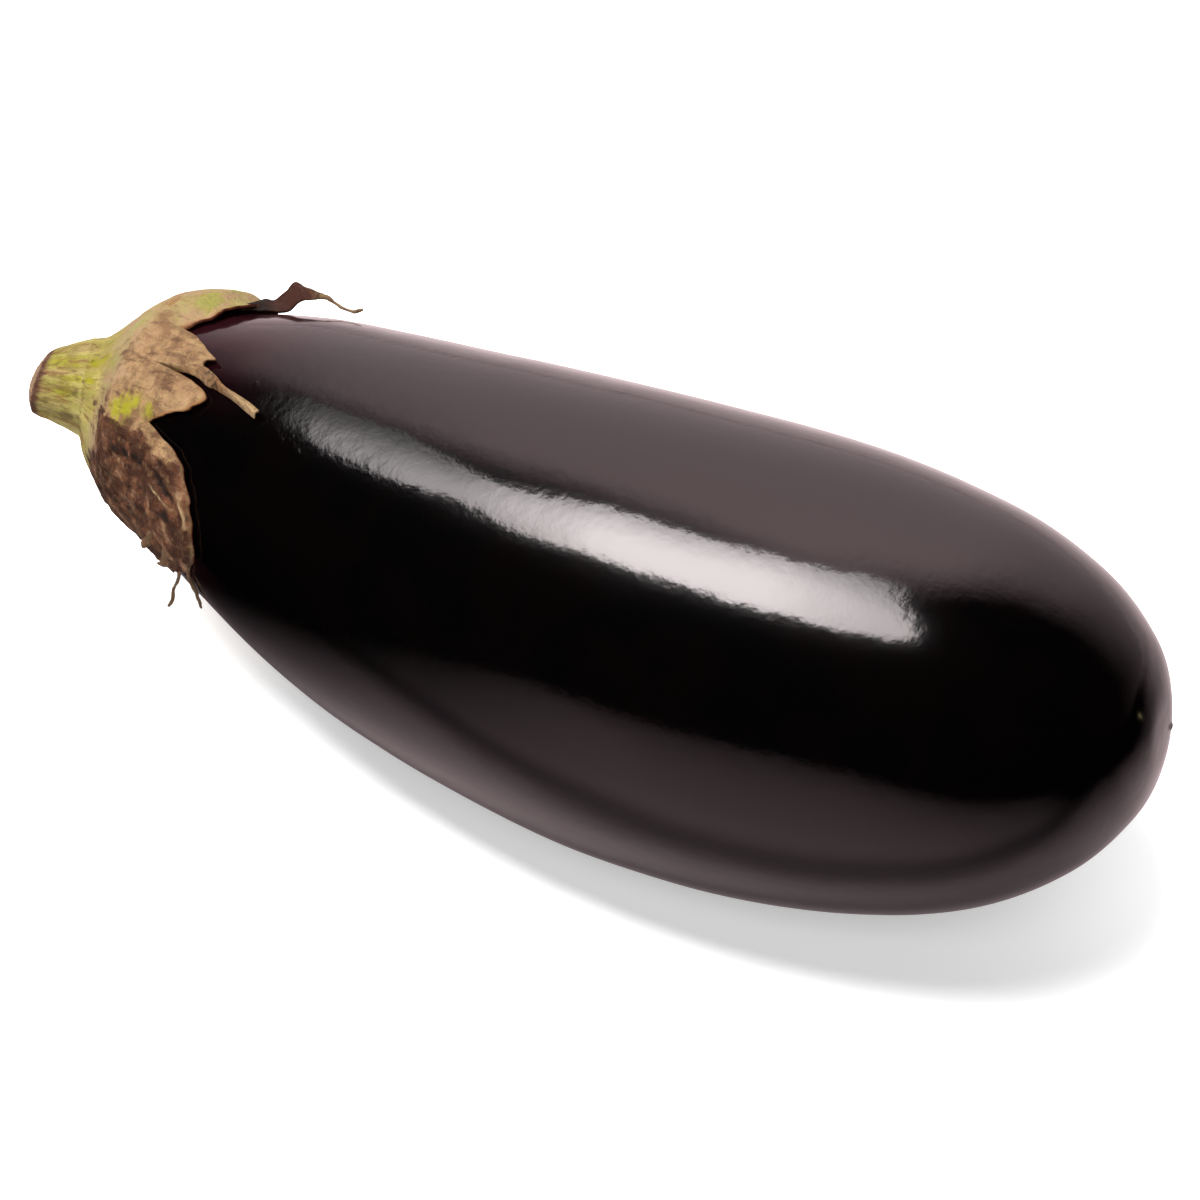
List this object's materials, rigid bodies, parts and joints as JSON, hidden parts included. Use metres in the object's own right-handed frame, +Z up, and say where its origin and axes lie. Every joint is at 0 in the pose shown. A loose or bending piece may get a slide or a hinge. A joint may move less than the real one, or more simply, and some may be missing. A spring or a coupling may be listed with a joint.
{
  "type": "eggplant",
  "caption": "Whole eggplant lying on its side: a long pear-shaped glossy fruit with a gentle bend, a lobed dry calyx over its narrow shoulder and a short cut stem.",
  "frame": {"origin": "bottom centre of the eggplant's bounding box, on the surface it lies on", "axes": "+X along the eggplant's length, from the cut stem to the blossom end; +Y toward the far side, away from the side the middle sags to; +Z up"},
  "size_m": [0.2306, 0.0834, 0.083],
  "materials": {
    "skin": "smooth waxy near-black purple skin, glossy",
    "calyx": "dry leathery tan and brown, with green-yellow patches and dark wrinkles, matte",
    "stem": "ribbed yellow-green cut stalk with brown streaks, matte"
  },
  "bodies": {
    "root": {"fruit": "skin", "calyx": "calyx", "stem": "stem"}
  },
  "joints": []
}
